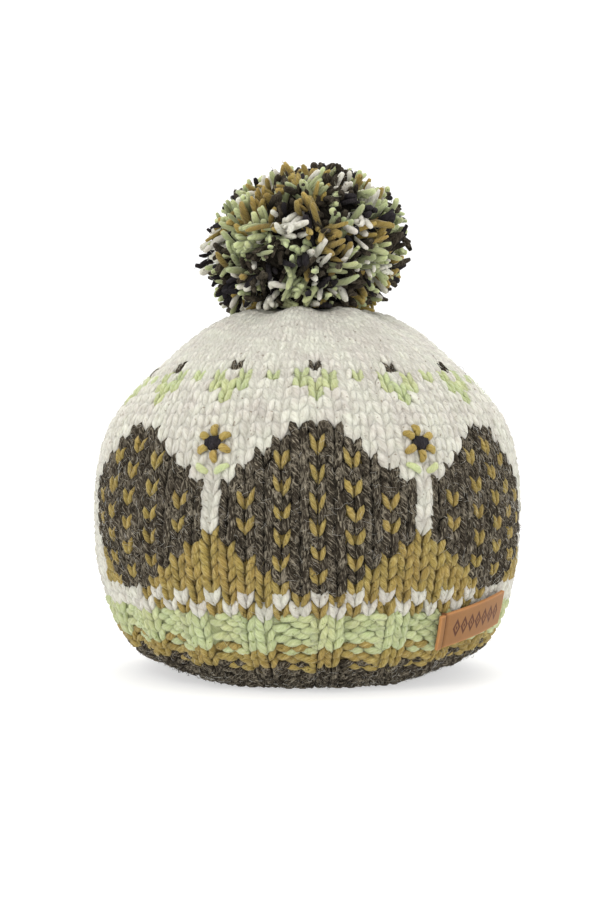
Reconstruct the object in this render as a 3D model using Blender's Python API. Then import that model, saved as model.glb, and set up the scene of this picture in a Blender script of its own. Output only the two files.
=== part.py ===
"""Knitted tea cosy: a hollow domed body with two slots, a pompom and a leather label.

Metres, +Z up. The origin is the middle of the hem, on the surface that the cosy
rests on. Its front looks along -Y, the spout slot is at -X, the handle slot at +X.
"""

import math
import random

import bmesh
import bpy
from mathutils import Vector

# The cloth: stitches round it, bands of faces from the hem to the crown, thickness.
STITCHES_ROUND = 80
FACE_BANDS = 24
WALL = 0.005
WELD_DISTANCE = 1e-6

# Hem: the ribbed edge turns under and lies flat over this width at the front and the
# back, and is drawn up under the two slots.
HEM_RADIUS = 0.0640
HEM_FLAT = 0.0055
HEM_LIFT = 0.0045
LIFT_FADES = 0.060
LEVEL_SHARE = 0.45

# Outer profile of the stretched body, from the hem up to the gathered crown.
# (radius, height)
PROFILE = (
    (HEM_RADIUS, 0.0),
    (0.0738, 0.0050),
    (0.0815, 0.0135),
    (0.0885, 0.0305),
    (0.0938, 0.0515),
    (0.0948, 0.0725),
    (0.0922, 0.0925),
    (0.0862, 0.1105),
    (0.0763, 0.1248),
    (0.0640, 0.1373),
    (0.0510, 0.1480),
    (0.0380, 0.1555),
    (0.0250, 0.1590),
    (0.0130, 0.1600),
)
PROFILE_STEPS = 24
CROWN_RADIUS, CROWN_HEIGHT = PROFILE[-1]

# Two-by-two rib over the lowest rows, and the gathers under the pompom.
RIB_WALES = 4
RIB_DEPTH = 0.0013
RIB_START, RIB_FULL, RIB_FADE, RIB_END = 0.004, 0.012, 0.038, 0.050
GATHERS = 8
GATHER_DEPTH = 0.0013
GATHER_TURN = 1.2
GATHER_START, GATHER_FULL, GATHER_PINNED = 0.145, 0.180, 0.012
SAG = 0.0009
SAG_WAVES = 4
SAG_TWIST = 14.0

# Slots parted between two wales, from first to last along the cloth.
# (angle, first, last, width)
SLOTS = (
    (math.pi, 0.0359, 0.1256, 0.034),
    (0.0, 0.0628, 0.1526, 0.018),
)
SLOT_ROUNDNESS = 0.8
ON_SEAM = 1e-6
SLOT_REACH = math.radians(40)
SLOT_LIP = 0.0012

# Pompom: a round core that carries tapered locks of yarn.
POMPOM_CENTRE = Vector((-0.001, 0.0, 0.1870))
POMPOM_SIZE = Vector((0.0485, 0.0470, 0.0402))
POMPOM_LEAN = 0.12
CORE_SIZE = Vector((0.0300, 0.0290, 0.0262))
CORE_POINTS = 128
SEAT_RADIUS = 0.010
SEAT_SIDES = 10
SEAT_GAP = 0.0003
CORE_ABOVE_SEAT = 0.004
LOCK_ABOVE_SEAT = 0.001
FLAT_ANGLE = 1e-4
LOCK_CLEARANCE = 0.0028
REACH_STEP = 0.0005
SHORTEST_LOCK = 1.08
ROOT_INSET = 0.0004
LOCK_ROOT = 0.84
LOCK_TIP = 0.80
LOCK_POINT = 0.0025
LOCK_UNEVEN = 0.11
LOCK_LEAN = 0.05
GOLDEN_ANGLE = math.pi * (3.0 - math.sqrt(5.0))

# Leather label, bent round the lower right of the front.
LABEL_LENGTH = 0.0415
LABEL_HEIGHT = 0.0148
LABEL_THICK = 0.0014
LABEL_ANGLE = math.radians(-40.6)
LABEL_ARC = 0.0388
LABEL_TILT = math.radians(11)
LABEL_GAP = 0.0004
LABEL_COLUMNS = 14
LABEL_ROWS = 4
TURNED_END = 0.0028
TURNED_RISE = 0.0006
CREASE_HALF = 0.0004
NEAREST_COLUMN = 0.02

CREAM_WOOL = (0.74, 0.70, 0.62, 1.0)
MIXED_WOOL = (0.16, 0.15, 0.10, 1.0)
TAN_LEATHER = (0.42, 0.20, 0.10, 1.0)


def clear_scene():
    for item in list(bpy.data.objects):
        bpy.data.objects.remove(item, do_unlink=True)


def make_material(name, colour, roughness):
    material = bpy.data.materials.new(name)
    material.use_nodes = True
    shader = material.node_tree.nodes["Principled BSDF"]
    shader.inputs["Base Color"].default_value = colour
    shader.inputs["Roughness"].default_value = roughness
    shader.inputs["Metallic"].default_value = 0.0
    return material


def make_object(name, work, material):
    """Turn a bmesh into a smooth-shaded object of the scene."""
    mesh = bpy.data.meshes.new(name)
    work.to_mesh(mesh)
    work.free()
    mesh.shade_smooth()
    mesh.materials.append(material)
    item = bpy.data.objects.new(name, mesh)
    bpy.context.scene.collection.objects.link(item)
    return item


def smooth_step(low, high, value):
    share = min(1.0, max(0.0, (value - low) / (high - low)))
    return share * share * (3.0 - 2.0 * share)


def spline_point(points, index, share):
    """Catmull-Rom curve through the points, between index and index + 1."""
    last = len(points) - 1
    before, here = points[max(index - 1, 0)], points[index]
    there, after = points[min(index + 1, last)], points[min(index + 2, last)]
    square, cube = share ** 2, share ** 3
    return tuple(
        0.5 * (2 * b + (c - a) * share + (2 * a - 5 * b + 4 * c - d) * square
               + (3 * b - a - 3 * c + d) * cube)
        for a, b, c, d in zip(before, here, there, after)
    )


def measured_profile():
    """Fine points of the profile, each with its length along the cloth from the hem."""
    fine = []
    for index in range(len(PROFILE) - 1):
        for step in range(PROFILE_STEPS):
            fine.append(spline_point(PROFILE, index, step / PROFILE_STEPS))
    fine.append(PROFILE[-1])
    lengths = [0.0]
    for (r0, z0), (r1, z1) in zip(fine, fine[1:]):
        lengths.append(lengths[-1] + math.hypot(r1 - r0, z1 - z0))
    return fine, lengths


FINE_PROFILE, CLOTH_LENGTHS = measured_profile()
CLOTH_LENGTH = CLOTH_LENGTHS[-1]


def profile_at(along):
    """Radius, height and outward direction of the smooth wall at a length along it."""
    along = min(max(along, 0.0), CLOTH_LENGTH)
    index = 0
    while index < len(CLOTH_LENGTHS) - 2 and CLOTH_LENGTHS[index + 1] < along:
        index += 1
    (r0, z0), (r1, z1) = FINE_PROFILE[index], FINE_PROFILE[index + 1]
    run = CLOTH_LENGTHS[index + 1] - CLOTH_LENGTHS[index]
    share = (along - CLOTH_LENGTHS[index]) / run
    outward = ((z1 - z0) / run, (r0 - r1) / run)
    return r0 + (r1 - r0) * share, z0 + (z1 - z0) * share, outward


def angle_between(angle, other):
    """Signed turn from other to angle, from -pi to pi."""
    return (angle - other + math.pi) % (2.0 * math.pi) - math.pi


def slot_half_width(slot, along):
    _, first, last, width = slot
    if not first < along < last:
        return 0.0
    return 0.5 * width * math.sin(math.pi * (along - first) / (last - first)) ** SLOT_ROUNDNESS


def parted_angle(angle, side, along, radius):
    """Angle of a wale after the slots have pushed it aside; side settles a seam wale."""
    for slot in SLOTS:
        away = angle_between(angle, slot[0])
        if abs(away) >= SLOT_REACH:
            continue
        direction = side if abs(away) < ON_SEAM else math.copysign(1.0, away)
        fall = (1.0 - abs(away) / SLOT_REACH) ** 2
        angle += direction * fall * slot_half_width(slot, along) / radius
    return angle


def slot_lip(angle, along):
    """How far the knitted edge of a slot stands up from the wall."""
    lip = 0.0
    for slot in SLOTS:
        wales_away = abs(angle_between(angle, slot[0])) * STITCHES_ROUND / (2.0 * math.pi)
        opened = slot_half_width(slot, along) / (0.5 * slot[3])
        lip += SLOT_LIP * max(0.0, 1.0 - wales_away) * opened
    return lip


def relief(angle, along):
    """Ribs, gathers and a slight sag, measured out from the smooth wall."""
    ribbed = smooth_step(RIB_START, RIB_FULL, along) * (1.0 - smooth_step(RIB_FADE, RIB_END, along))
    rib = RIB_DEPTH * ribbed * math.sin(angle * STITCHES_ROUND / RIB_WALES)
    pinned_top = 1.0 - smooth_step(CLOTH_LENGTH - GATHER_PINNED, CLOTH_LENGTH, along)
    gathered = smooth_step(GATHER_START, GATHER_FULL, along) * pinned_top
    gather = GATHER_DEPTH * gathered * math.cos(GATHERS * angle + GATHER_TURN)
    share = along / CLOTH_LENGTH
    sagging = math.sin(math.pi * share) ** 2 * smooth_step(RIB_START, RIB_END, along)
    sag = SAG * sagging * math.sin(SAG_WAVES * angle + SAG_TWIST * share)
    return rib + gather + sag


def hem_lift(angle, along):
    """How far the lower edge is drawn up under the slots."""
    beside = smooth_step(LEVEL_SHARE, 1.0, abs(math.cos(angle)))
    return HEM_LIFT * beside * (1.0 - smooth_step(0.0, LIFT_FADES, along))


def cloth_point(angle, side, along):
    """Point of the outer face of the cloth, in the draped shape."""
    radius, height, (out_r, out_z) = profile_at(along)
    rise = relief(angle, along) + slot_lip(angle, along)
    radius_there = radius + out_r * rise
    parted = parted_angle(angle, side, along, radius)
    return Vector((
        radius_there * math.cos(parted),
        radius_there * math.sin(parted),
        height + out_z * rise + hem_lift(angle, along),
    ))


def hem_point(angle):
    inner = HEM_RADIUS - HEM_FLAT
    return Vector((inner * math.cos(angle), inner * math.sin(angle), hem_lift(angle, 0.0)))


def build_body(material):
    """Outer face of the cloth as one sheet, closed at the crown, then thickened inward."""
    work = bmesh.new()
    wales = range(STITCHES_ROUND)
    turn = 2.0 * math.pi / STITCHES_ROUND

    def ring(place):
        left_edges = [work.verts.new(place(wale * turn, 1.0)) for wale in wales]
        right_edges = [work.verts.new(place((wale + 1) * turn, -1.0)) for wale in wales]
        return left_edges, right_edges

    rings = [ring(lambda angle, side: hem_point(angle))]
    for band in range(FACE_BANDS + 1):
        along = CLOTH_LENGTH * band / FACE_BANDS
        rings.append(ring(lambda angle, side, at=along: cloth_point(angle, side, at)))
    for (left_low, right_low), (left_high, right_high) in zip(rings, rings[1:]):
        for wale in wales:
            work.faces.new((left_low[wale], right_low[wale], right_high[wale], left_high[wale]))
    crown = work.verts.new((0.0, 0.0, CROWN_HEIGHT))
    left_top, right_top = rings[-1]
    for wale in wales:
        work.faces.new((left_top[wale], right_top[wale], crown))
    bmesh.ops.remove_doubles(work, verts=work.verts, dist=WELD_DISTANCE)
    body = make_object("knitted_cosy", work, material)
    wall = body.modifiers.new("wall", "SOLIDIFY")
    wall.thickness = WALL
    wall.offset = -1.0
    wall.use_even_offset = True
    return body


def crown_height_at(radius):
    """Height of the crown's outer face at a distance from the axis, above the widest row."""
    for (r0, z0), (r1, z1) in reversed(list(zip(FINE_PROFILE, FINE_PROFILE[1:]))):
        if r1 <= radius <= r0:
            return z1 + (z0 - z1) * (radius - r1) / (r0 - r1)
    return CROWN_HEIGHT if radius < CROWN_RADIUS else 0.0


def core_hull():
    """Closed core of the pompom: spread points in a hull, flat where it sits on the crown."""
    work = bmesh.new()
    seat = CROWN_HEIGHT + SEAT_GAP
    for index in range(CORE_POINTS):
        height = 1.0 - 2.0 * (index + 0.5) / CORE_POINTS
        around = index * GOLDEN_ANGLE
        flat = math.sqrt(1.0 - height * height)
        spread = Vector((flat * math.cos(around), flat * math.sin(around), height))
        point = POMPOM_CENTRE + spread * CORE_SIZE
        if point.z > seat + CORE_ABOVE_SEAT:
            work.verts.new(point)
    for corner in range(SEAT_SIDES):
        around = 2.0 * math.pi * corner / SEAT_SIDES
        work.verts.new((SEAT_RADIUS * math.cos(around), SEAT_RADIUS * math.sin(around), seat))
    hull = bmesh.ops.convex_hull(work, input=work.verts)
    spare = [item for item in hull["geom_interior"] if isinstance(item, bmesh.types.BMVert)]
    bmesh.ops.delete(work, geom=spare, context="VERTS")
    bmesh.ops.dissolve_limit(work, angle_limit=FLAT_ANGLE, verts=work.verts, edges=work.edges)
    bmesh.ops.recalc_face_normals(work, faces=work.faces)
    return work


def lock_reach(direction):
    """Length of a lock's ray from the pompom's middle to its trimmed outline or the crown."""
    stretched = Vector(d / s for d, s in zip(direction, POMPOM_SIZE))
    reach = 1.0 / stretched.length
    while reach > 0.0:
        tip = POMPOM_CENTRE + direction * reach
        if tip.z > crown_height_at(math.hypot(tip.x, tip.y)) + LOCK_CLEARANCE:
            return reach
        reach -= REACH_STEP
    return 0.0


def settled(point):
    """A lock's end after the pompom leans to one side and comes down on the crown."""
    leant_x = point.x + POMPOM_LEAN * (point.z - POMPOM_CENTRE.z)
    lowest = crown_height_at(math.hypot(leant_x, point.y)) + LOCK_CLEARANCE
    return Vector((leant_x, point.y, max(point.z, lowest)))


def grow_lock(work, face, chance):
    """Raise one face of the core into a lock that widens outward and ends in a blunt point."""
    centre = face.calc_center_median()
    direction = (centre - POMPOM_CENTRE).normalized()
    reach = lock_reach(direction) * (1.0 - LOCK_UNEVEN * chance.random())
    spread = reach / (centre - POMPOM_CENTRE).length
    if spread < SHORTEST_LOCK:
        return
    bmesh.ops.inset_individual(work, faces=[face], thickness=ROOT_INSET, depth=0.0)
    for vert in face.verts:
        vert.co = centre + (vert.co - centre) * LOCK_ROOT
    root = [vert.co.copy() for vert in face.verts]
    grown = bmesh.ops.extrude_discrete_faces(work, faces=[face])["faces"][0]
    tip_centre = POMPOM_CENTRE + direction * (reach - LOCK_POINT)
    lean = Vector(chance.uniform(-1.0, 1.0) for _ in range(3)) * LOCK_LEAN
    width = (root[0] - centre).length * spread
    for vert, start in zip(grown.verts, root):
        corner = tip_centre + (start - centre) * spread * LOCK_TIP + lean * width
        vert.co = settled(corner)
    poked = bmesh.ops.poke(work, faces=[grown])["verts"][0]
    poked.co = settled(tip_centre + direction * LOCK_POINT + lean * width)


def build_pompom(material):
    work = core_hull()
    chance = random.Random(7)
    seat = CROWN_HEIGHT + SEAT_GAP
    for face in list(work.faces):
        if face.calc_center_median().z > seat + LOCK_ABOVE_SEAT:
            grow_lock(work, face, chance)
    return make_object("pompom", work, material)


def label_point(across, up, lift):
    """Point of the label; across and up run from -0.5 to 0.5 over its cut size."""
    sideways = across * LABEL_LENGTH
    upward = up * LABEL_HEIGHT
    along = LABEL_ARC + upward * math.cos(LABEL_TILT) + sideways * math.sin(LABEL_TILT)
    round_wall = sideways * math.cos(LABEL_TILT) - upward * math.sin(LABEL_TILT)
    radius, height, (out_r, out_z) = profile_at(along)
    angle = LABEL_ANGLE + round_wall / radius
    crest = RIB_DEPTH + LABEL_GAP + lift
    radius_there = radius + out_r * crest
    return Vector((
        radius_there * math.cos(angle),
        radius_there * math.sin(angle),
        height + out_z * crest,
    ))


def build_label(material):
    """Bent slab with one turned end that stands a little higher."""
    work = bmesh.new()
    turned = TURNED_END / LABEL_LENGTH
    crease = CREASE_HALF / LABEL_LENGTH
    even = [index / LABEL_COLUMNS for index in range(LABEL_COLUMNS + 1)]
    columns = sorted([share for share in even if share == 0.0 or share > turned + NEAREST_COLUMN]
                     + [turned - crease, turned + crease])

    def layer(outer):
        grid = []
        for share in columns:
            on_turned_end = share < turned
            lift = LABEL_THICK + (TURNED_RISE if on_turned_end else 0.0) if outer else 0.0
            grid.append([
                work.verts.new(label_point(share - 0.5, row / LABEL_ROWS - 0.5, lift))
                for row in range(LABEL_ROWS + 1)
            ])
        return grid

    top, bottom = layer(True), layer(False)
    for column in range(len(columns) - 1):
        for row in range(LABEL_ROWS):
            work.faces.new((top[column][row], top[column + 1][row],
                            top[column + 1][row + 1], top[column][row + 1]))
            work.faces.new((bottom[column][row + 1], bottom[column + 1][row + 1],
                            bottom[column + 1][row], bottom[column][row]))
    open_edges = [edge for edge in work.edges if edge.is_boundary]
    bmesh.ops.bridge_loops(work, edges=open_edges)
    bmesh.ops.recalc_face_normals(work, faces=work.faces)
    return make_object("leather_label", work, material)


def main():
    clear_scene()
    build_body(make_material("cream wool", CREAM_WOOL, 0.95))
    build_pompom(make_material("mixed wool", MIXED_WOOL, 0.95))
    build_label(make_material("tan leather", TAN_LEATHER, 0.55))


main()
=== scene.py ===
"""Looks of the knitted tea cosy: its stitches, pompom, embroidery and leather label.

Metres, +Z up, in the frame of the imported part. The front looks along -Y, the spout
slot is at -X and the handle slot at +X.
"""

import math
from collections import namedtuple

import bpy
import numpy as np
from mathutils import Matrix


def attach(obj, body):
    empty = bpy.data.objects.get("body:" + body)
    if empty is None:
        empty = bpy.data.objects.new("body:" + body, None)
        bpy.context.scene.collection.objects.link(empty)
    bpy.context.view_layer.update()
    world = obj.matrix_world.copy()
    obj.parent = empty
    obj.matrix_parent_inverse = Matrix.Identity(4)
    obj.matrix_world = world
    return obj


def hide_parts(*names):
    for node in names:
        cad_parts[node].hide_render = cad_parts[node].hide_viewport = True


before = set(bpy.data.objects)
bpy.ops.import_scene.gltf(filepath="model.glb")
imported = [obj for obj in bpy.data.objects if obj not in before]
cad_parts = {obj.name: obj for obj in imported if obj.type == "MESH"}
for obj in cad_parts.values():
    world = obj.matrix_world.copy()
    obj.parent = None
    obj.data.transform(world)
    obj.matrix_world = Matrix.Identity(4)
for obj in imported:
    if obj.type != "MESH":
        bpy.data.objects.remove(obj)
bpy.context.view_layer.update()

# ------------------------------------------------------------------ the cloth's sizes
STITCHES_ROUND = 80
WALL = 0.005
HEM_RADIUS = 0.0640
HEM_FLAT = 0.0055
HEM_LIFT = 0.0045
LIFT_FADES = 0.060
LEVEL_SHARE = 0.45

# Outer profile of the stretched body, from the hem up to the gathered crown.
# (radius, height)
PROFILE = (
    (HEM_RADIUS, 0.0),
    (0.0738, 0.0050),
    (0.0815, 0.0135),
    (0.0885, 0.0305),
    (0.0938, 0.0515),
    (0.0948, 0.0725),
    (0.0922, 0.0925),
    (0.0862, 0.1105),
    (0.0763, 0.1248),
    (0.0640, 0.1373),
    (0.0510, 0.1480),
    (0.0380, 0.1555),
    (0.0250, 0.1590),
    (0.0130, 0.1600),
)
PROFILE_STEPS = 24
CROWN_HEIGHT = PROFILE[-1][1]

RIB_WALES = 4
RIB_DEPTH = 0.0013
RIB_START, RIB_FULL, RIB_FADE, RIB_END = 0.004, 0.012, 0.038, 0.050
GATHERS = 8
GATHER_DEPTH = 0.0013
GATHER_TURN = 1.2
GATHER_START, GATHER_FULL, GATHER_PINNED = 0.145, 0.180, 0.012
SAG = 0.0009
SAG_WAVES = 4
SAG_TWIST = 14.0

# Slots parted between two wales, from first to last along the cloth.
# (angle, first, last, width)
SLOTS = (
    (math.pi, 0.0359, 0.1256, 0.034),
    (0.0, 0.0628, 0.1526, 0.018),
)
SLOT_ROUNDNESS = 0.8
SLOT_REACH = math.radians(40)
SLOT_LIP = 0.0012
SLOT_LAP, LAP_CLOSES = 0.0016, 4.0

# ------------------------------------------------------------------ the yarns
CREAM, CHARCOAL, MUSTARD, GREEN, NAVY = range(5)
YARN_NAMES = ("cream", "charcoal", "mustard", "green", "navy")

# Each yarn's wool, what its colour drifts to in patches, and the paler and darker hairs
# spun into it; strays are the pale hairs felted over it, cut_hairs what is left of the
# pale ones in the pompom, coarse how strongly its fibres stand out, glow the share of
# light that spreads inside it, and fibres how many hairs lie side by side round it.
YarnColour = namedtuple("YarnColour", """wool drift pale dark pale_share dark_share strays
                        sheen cut_hairs coarse glow fibres""")
YARN_COLOURS = (
    YarnColour((0.672, 0.668, 0.566), (0.592, 0.556, 0.492), (0.80, 0.79, 0.71),
               (0.33, 0.29, 0.23), 0.6, 0.48, 0.10, 0.20, 0.6, 0.60, 0.5, 8.0),
    YarnColour((0.033, 0.026, 0.0175), (0.053, 0.042, 0.030), (0.53, 0.465, 0.345),
               (0.006, 0.005, 0.003), 0.68, 0.74, 0.40, 0.02, 0.30, 0.9, 0.0, 12.0),
    YarnColour((0.385, 0.290, 0.080), (0.40, 0.280, 0.082), (0.68, 0.58, 0.26),
               (0.12, 0.088, 0.018), 0.65, 0.65, 0.12, 0.12, 0.5, 1.0, 0.3, 13.0),
    YarnColour((0.505, 0.570, 0.305), (0.545, 0.570, 0.295), (0.70, 0.74, 0.49),
               (0.26, 0.31, 0.11), 0.55, 0.46, 0.10, 0.18, 0.5, 0.75, 0.5, 11.0),
    YarnColour((0.021, 0.019, 0.022), (0.028, 0.023, 0.024), (0.13, 0.12, 0.13),
               (0.008, 0.007, 0.009), 0.40, 0.60, 0.25, 0.02, 0.6, 1.0, 0.0, 15.0),
)

# ------------------------------------------------------------------ the chart
PANEL = 40
RIB_ROWS = 9
CHART_ROWS = 41
CHARCOAL_ROWS, MUSTARD_ROWS, GREEN_ROWS = 4, 6, RIB_ROWS
CHECK_ROWS = 11
CHECK_MARGIN = 9
LOZENGES = (8, 20, 32)
LOZENGE_ROW = 17
LOZENGE_WIDEST = 5
LOZENGE_REACH = 7
HALF_LOZENGES = (2, 14, 26, 38)
HALF_LOZENGE_WIDTHS = (4, 3, 2, 1, 0)
HALF_LOZENGE_ROW = 11
HALF_LOZENGE_MARGIN = 4
FLECK_EVERY = 4
GARLAND_ROW = 26
GARLAND_EVERY = 6
GARLAND_DIP = 2

# A row's lower edge, measured along the cloth: the rows lie closer in the rib.
# (row, along)
ROW_MARKS = ((0, 0.0), (4, 0.0190), (6, 0.0275), (9, 0.0421), (18, 0.0862))

# Courses of the crown: first row, stitches round. The pompom sits on the last rows.
CROWN_COURSES = ((35, 60), (37, 48))
ROWS_SEEN = 39

# ------------------------------------------------------------------ a stitch's shape
# Rings along a length of yarn, as shares of its length, with the width and depth there of
# a knit leg and of a purl bar, as shares of the half width and half depth.
SHARES = np.array((0.0, 0.12, 0.34, 0.64, 0.88, 1.0))
EVEN_SHARES = np.linspace(0.0, 1.0, len(SHARES))
EVEN_ARCH = np.sin(math.pi * EVEN_SHARES)
LEG_WIDTHS = np.array((0.08, 0.52, 0.94, 1.04, 0.68, 0.14))
BAR_WIDTHS = np.array((0.30, 0.80, 1.04, 1.04, 0.80, 0.32))
YARN_DEPTHS = np.array((0.40, 0.80, 1.0, 1.0, 0.80, 0.40))
# How light those rings are: sunk ends lie in the shade of their neighbours.
STITCH_SHADES = np.array((0.45, 0.86, 1.0, 1.0, 0.84, 0.42))
# Painted shade along the pompom's cut ends, darkest at their roots deep inside it.
CUT_SHADES = np.array((0.24, 0.36, 0.56, 0.78, 0.94, 1.0))

# One value for each yarn, in the order of YARN_NAMES: half a leg's width as a share of its
# stitch, half its depth, the strength of its shade, which is weak where light passes
# through a pale yarn, and the tone of its darkest stitch, where the lightest has 1.
LEG_HALF_WIDTHS = np.array((0.255, 0.248, 0.212, 0.243, 0.22))
LEG_HALF_DEPTHS = np.array((0.00118, 0.00155, 0.00155, 0.00132, 0.00155))
SHADE_POWERS = (0.12, 1.0, 1.0, 0.45, 1.0)
DARKEST_TONES = (0.84, 0.84, 0.84, 0.84, 0.86)
# The same strength and tone for the pompom's ends, and the backing's painted shade, for
# where it shows in the gaps between the stitches, and its lift from the wall's outer face.
CUT_SHADE_POWERS = (0.5, 1.0, 1.2, 1.5, 1.0)
DARKEST_ENDS = (0.90, 0.68, 0.64, 0.58, 0.68)
BACKING_SHADES = np.array((0.80, 0.6, 0.6, 0.7, 0.6))
BACKING_LIFTS = np.array((-0.0007, -0.0026, -0.0026, -0.0018, -0.0026))

# A leg runs from its foot to its head, each given in stitches across and up from the
# stitch's middle, bows outwards, and dips below its neighbours over a share of each end.
LEG_FOOT, LEG_HEAD = (0.050, -0.80), (0.455, 0.90)
LEG_BOW = 0.025
LEG_TOP, LEG_FOOT_DIP, LEG_HEAD_DIP = 0.0003, 0.0017, 0.0017
DIP_SHARE, DIP_POWER = 0.45, 1.5
LEG_WIDEST, LEG_NARROWEST = 0.00200, 0.00118
# A stitch that stands alone in its yarn is drawn in by its neighbours.
LONE_WIDTH = 0.80
# How uneven the legs are: across, up, lift and width, and the places of foot and head.
LEG_UNEVEN = (0.02, 0.060, 0.00014, 0.11)
FOOT_UNEVEN, HEAD_UNEVEN = 0.032, 0.042

# A purl bar reaches past its own stitch on both sides and arches away from its row.
BAR_HALF_WIDTH, BAR_HALF_DEPTH = 0.00168, 0.00145
BAR_ARCH, BAR_OFF_ROW, BAR_REACH = 0.12, 0.19, 0.54
BAR_RISE, BAR_DIP, BAR_DIP_POWER = 0.0002, 0.0012, 2.5
BAR_UNEVEN = (0.06, 0.07, 0.00015, 0.16)

# Uneven tension: slow waves that move the stitches sideways and up.
STITCH_DRIFT, DRIFT_WAVE, DRIFT_SETTLED = 0.115, 0.019, 0.030
# (waves round the body, turn along it, strength)
DRIFT_SIDEWAYS = ((5.0, 1.0, 1.0), (13.0, -1.7, 0.8), (31.0, 0.0, 0.6))
DRIFT_UPWARD = ((7.0, -0.9, 1.0), (17.0, 1.3, 0.8))
FLOOR_GAP = 0.0002

# Edge stitches wrapped round the slots' sides, and cast-on loops round the hem's rim. The
# insets are how far inside the wall's outer and inner faces they begin and end.
WRAP_PITCH, WRAP_OVERLAP, WRAP_BESIDE = 0.0030, 1.1, 0.01
WRAP_HALF_WIDTH, RIM_HALF_WIDTH, WRAP_HALF_DEPTH = 0.00155, 0.0014, 0.00110
WRAP_INSETS, RIM_INSETS = (0.0004, 0.0004), (0.0012, 0.0006)
WRAP_MIDDLE, WRAP_BULGE = 0.0012, -0.0011
RIM_FIRST, RIM_SHARE = 0.2, 0.6
RIM_ALONG, RIM_BULGE, RIM_MIDDLE = -HEM_FLAT + 0.0012, -0.0014, 0.003

# The backing: bands up the cloth, its inner face's purl rows, and the rise towards the
# crown, where felted wool fills the gaps between the stitches.
BACKING_BANDS = 108
INNER_ROW, INNER_BUMP, INNER_WALES = 0.0053, 0.0007, 0.6
INNER_LIFT = 0.0005
FELTED_FROM, FELTED_TO, FELTED_RISE = 0.120, 0.165, 0.0005

# Heights that part the cream stitches into three pieces.
# (name, from, below)
CREAM_PIECES = (("low", -1.0, 0.078), ("middle", 0.078, 0.128), ("high", 0.128, 1.0))

# Loose hairs over the stitches of each yarn.
# (yarn, hairs, hair's own yarn, half thickness, height)
CLOTH_HAIRS = (
    (CHARCOAL, 1900, CREAM, 0.000065, 0.0009),
    (CHARCOAL, 900, CHARCOAL, 0.00009, 0.0016),
    (CREAM, 1300, CREAM, 0.00006, 0.0012),
    (MUSTARD, 600, MUSTARD, 0.00008, 0.0013),
    (GREEN, 400, GREEN, 0.00008, 0.0013),
)
HAIR_WIDTHS = np.array((0.9, 1.0, 0.9, 0.35))
FREE_HAIRS = 0.40
# How much a hair turns, its length and its steps across and up in stitches.
HAIR_TURN, HAIR_LENGTHS, HAIR_ACROSS, HAIR_UP = 1.2, (0.25, 1.0), 0.22, 0.28
HAIR_LIFT, HAIR_RISES, HAIR_THICKNESS = 0.0001, (0.2, 1.0), (0.7, 1.2)

# ------------------------------------------------------------------ pompom and trimmings
POMPOM_CENTRE = np.array((-0.001, 0.0, 0.1870))
POMPOM_SIZE = np.array((0.0485, 0.0470, 0.0402))
POMPOM_LEAN = 0.12
CORE_SHARE = 0.74
CORE_CLEARANCE = 0.0003
# Cut ends lean together in clumps of one yarn, but for a share that has its own.
YARN_ENDS = 2500
CLUMPS = 380
CLUMP_YARNS = (0.14, 0.28, 0.12, 0.31, 0.15)
OWN_YARNS = (0.16, 0.25, 0.14, 0.30, 0.15)
OWN_SHARE = 0.22
CLUMP_LEAN, END_LEAN = 0.50, 0.20
# An end's root, as a share of the pompom's reach, its bend, and how short some are cut.
END_ROOT, END_BEND = 0.50, 0.0065
END_TRIM, TRIM_POWER = 0.22, 1.1
LONG_ENDS, LONG_SHARE = 0.04, 0.12
END_SHARES = np.array((0.0, 0.26, 0.52, 0.76, 0.93, 1.0))
END_WIDTHS = np.array((0.55, 0.84, 1.00, 1.10, 1.02, 0.64))
END_HALF_WIDTH = 0.00140
END_CLEARANCE = 0.0016
END_THICKNESS, END_FLATNESS = (0.78, 1.2), (0.70, 0.95)
END_SPREAD, CLUMP_SPREAD = 0.045, 0.10
# The yarn's section has two lobes, which turn this often over a length of one girth.
END_PLY, PLY_TURNS = 0.14, 0.45
FRAYED_HAIRS = 2600
FRAY_HALF_WIDTH, FRAY_CLEARANCE = 0.00010, 0.0004
FRAY_WIDTHS = np.array((1.0, 1.0, 0.8, 0.35))
FRAY_SPREAD, FRAY_ASIDE, FRAY_CURL, FRAY_LENGTHS = 0.55, 0.0010, 0.0011, (0.0009, 0.0024)

LABEL_LENGTH = 0.0415
LABEL_HEIGHT = 0.0148
LABEL_THICK = 0.0014
LABEL_ANGLE = math.radians(-40.6)
LABEL_ARC = 0.0388
LABEL_TILT = math.radians(11)
LABEL_GAP = 0.0004
TURNED_END = 0.0028
TURNED_RISE = 0.0006
CREASE_DEPTH, CREASE_WIDTH = 0.0005, 0.011
# Painted shadow in the crease beside the turned end, and how dark it is.
CREASE_SHADOW_STRENGTH = 0.95
# Width of a pale band painted along the label's edges: paler cut leather and a painted highlight.
PALE_EDGE_WIDTH = 0.00035
EDGE_ROUND = 0.00030
# The grid that the label is cut into: how near its ends the first cuts are, and how many
# lie between them, along and up; the last are beside the turn, as shares of its length.
LABEL_NEAR = 0.001
LABEL_CUTS = (26, 7)
TURN_CUTS = (-0.010, -0.004, 0.003, 0.010)
TURN_FLAT, TURN_RISEN = 0.002, -0.005

FLOWER_ROW = 22.6
FLOWER_PLACES = (14, 26)
FLOWER_RADIUS = 0.0078
PETALS = 6
PETAL_START = 0.8
DOT_RADIUS = 0.0034
DOT_THREADS = 6
LEAF_START, LEAF_REACH, LEAF_DROP, LEAF_RISE = 0.0012, 0.0060, -0.0118, 0.0035
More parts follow.
